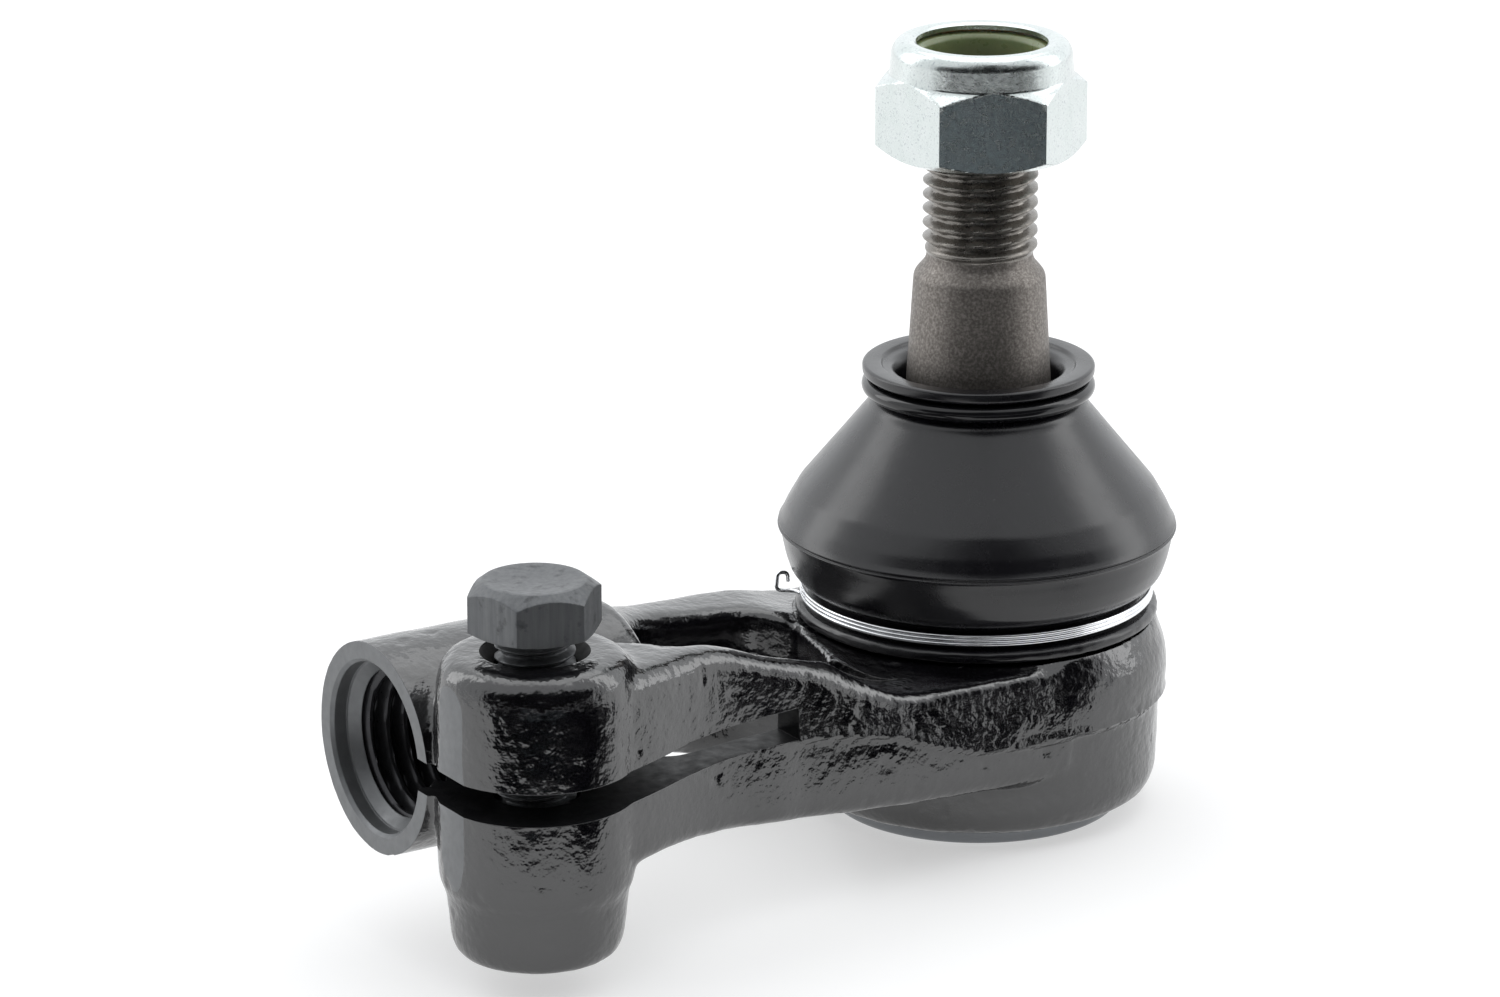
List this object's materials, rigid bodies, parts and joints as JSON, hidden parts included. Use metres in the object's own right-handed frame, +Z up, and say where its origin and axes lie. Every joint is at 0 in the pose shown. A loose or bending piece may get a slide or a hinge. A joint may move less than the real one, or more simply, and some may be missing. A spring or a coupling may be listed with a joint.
{
  "type": "tie rod end",
  "caption": "Tie rod end: a ball stud with a lock nut and rubber boot in a round housing, and an open two-rail arm with a split threaded clamp and pinch bolt.",
  "frame": {"origin": "centre of the end cap's bottom face, on the stud's axis", "axes": "+Z up along the stud to its nut, -X along the arm to the rod's bore, -Y towards the pinch bolt"},
  "size_m": [0.0959, 0.0509, 0.0823],
  "materials": {
    "black_paint": "semi-gloss black paint over a rough forged skin",
    "dark_steel": "phosphated dark grey-brown steel",
    "bright_zinc": "bright zinc plate",
    "black_rubber": "satin black rubber",
    "bolt_black": "matt black phosphated steel",
    "cap_steel": "smooth dark coated steel",
    "spring_wire": "bright drawn spring wire",
    "nylon": "olive translucent nylon",
    "seat_plastic": "cream acetal"
  },
  "bodies": {
    "housing": {"forged_body": "black_paint", "end_cap": "cap_steel", "preload_spring": "dark_steel", "lower_ball_seat": "seat_plastic", "upper_ball_seat": "seat_plastic", "boot_lower_ring": "spring_wire"},
    "clamp_bolt": {"pinch_bolt": "bolt_black"},
    "boot": {"dust_boot": "black_rubber"},
    "boot_mouth": {"boot_upper_ring": "black_rubber"},
    "stud": {"ball_stud": "dark_steel"},
    "nut_ring": {"nylon_ring": "nylon"},
    "nut": {"lock_nut": "bright_zinc"}
  },
  "joints": [
    {"name": "pinch_bolt_travel", "type": "slide", "parent": "housing", "child": "clamp_bolt", "axis": [0, 0, 1], "range_m": [-0.0017, 0.03]},
    {"name": "stud_azimuth", "type": "hinge", "parent": "housing", "child": "boot", "pos_m": [0, 0, 0.015], "axis": [0, 0, 1], "continuous": true, "deforming": ["dust_boot"]},
    {"name": "stud_tilt", "type": "hinge", "parent": "boot", "child": "boot_mouth", "pos_m": [0, 0, 0.015], "axis": [0, 1, 0], "range_deg": [-20, 20], "deforming": ["dust_boot"]},
    {"name": "stud_spin", "type": "hinge", "parent": "boot_mouth", "child": "stud", "pos_m": [0, 0, 0.015], "axis": [0, 0, 1], "continuous": true},
    {"name": "nut_travel", "type": "slide", "parent": "stud", "child": "nut_ring", "axis": [0, 0, 1], "range_m": [-0.0106, 0.0056]},
    {"name": "nut_spin", "type": "hinge", "parent": "nut_ring", "child": "nut", "pos_m": [0, 0, 0.0703], "axis": [0, 0, 1], "range_deg": [-2520, 1260]}
  ],
  "couplings": [
    {"joint": "nut_travel", "follows": "nut_spin", "m_per_rad": 0.00023873}
  ]
}
